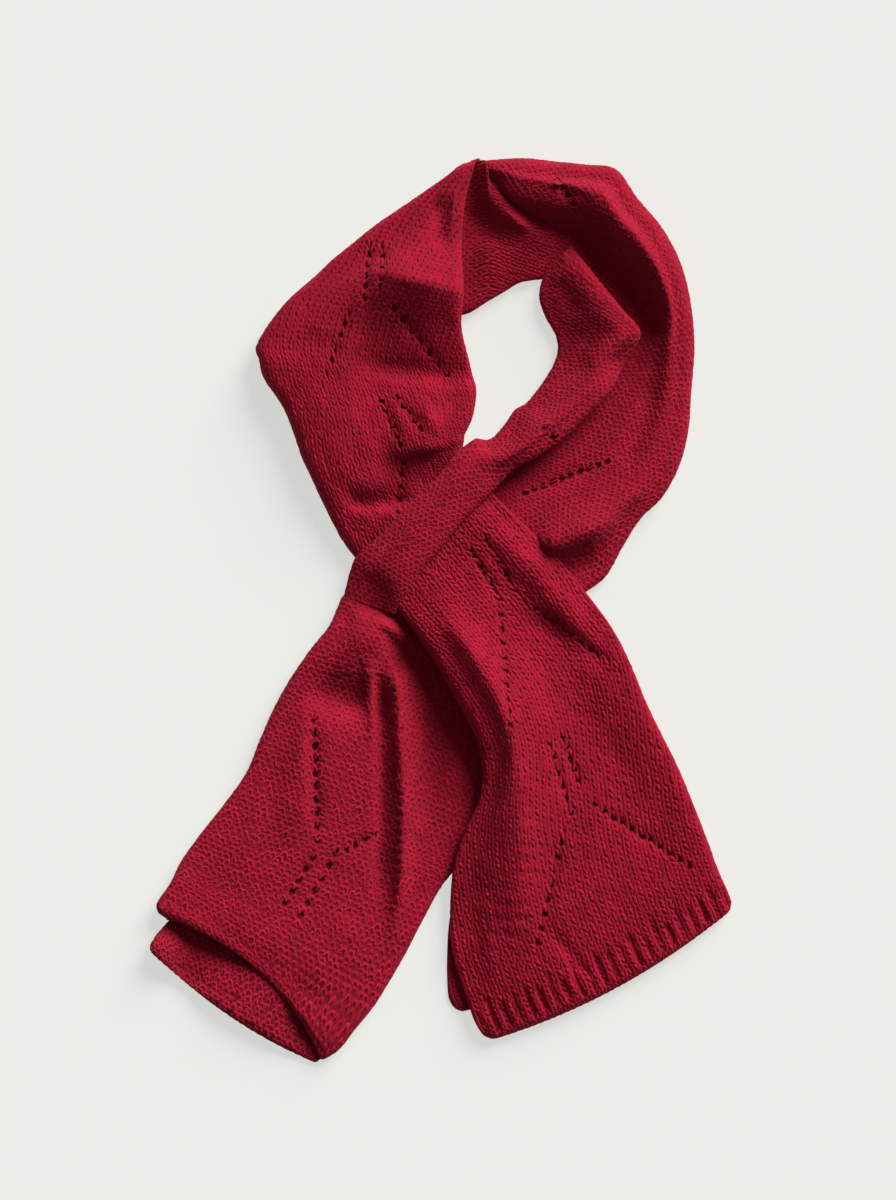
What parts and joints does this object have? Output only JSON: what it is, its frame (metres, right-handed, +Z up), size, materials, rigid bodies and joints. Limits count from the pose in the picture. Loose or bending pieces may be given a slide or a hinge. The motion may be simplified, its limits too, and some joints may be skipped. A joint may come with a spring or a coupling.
{
  "type": "knit scarf",
  "caption": "Flat-laid knitted pull-through scarf: a double strip folded into a neck loop, with one tail drawn through a slit, lace motifs and ribbed hems.",
  "frame": {"origin": "on the surface that the scarf lies on, under the middle of its box", "axes": "+Z up from the surface, +Y from the tails' hems to the top of the neck loop, +X to the side of the tail that was pulled through"},
  "size_m": [0.38, 0.587, 0.027],
  "materials": {
    "wool": "matte knitted wool, worsted weight, deep red",
    "wool_inside": "matte knitted wool, the same cloth where it is folded out of sight"
  },
  "bodies": {
    "root": {"left_leg_front": "wool", "right_tail_front": "wool", "left_tail_front": "wool", "right_leg_front": "wool", "neck_back": "wool", "inner_band": "wool", "strap": "wool", "right_tail_hem": "wool", "left_tail_hem": "wool", "left_leg_layers": "wool_inside", "right_leg_back": "wool_inside", "crossing_layers": "wool_inside", "right_tail_back": "wool_inside", "left_tail_back": "wool_inside"}
  },
  "joints": []
}
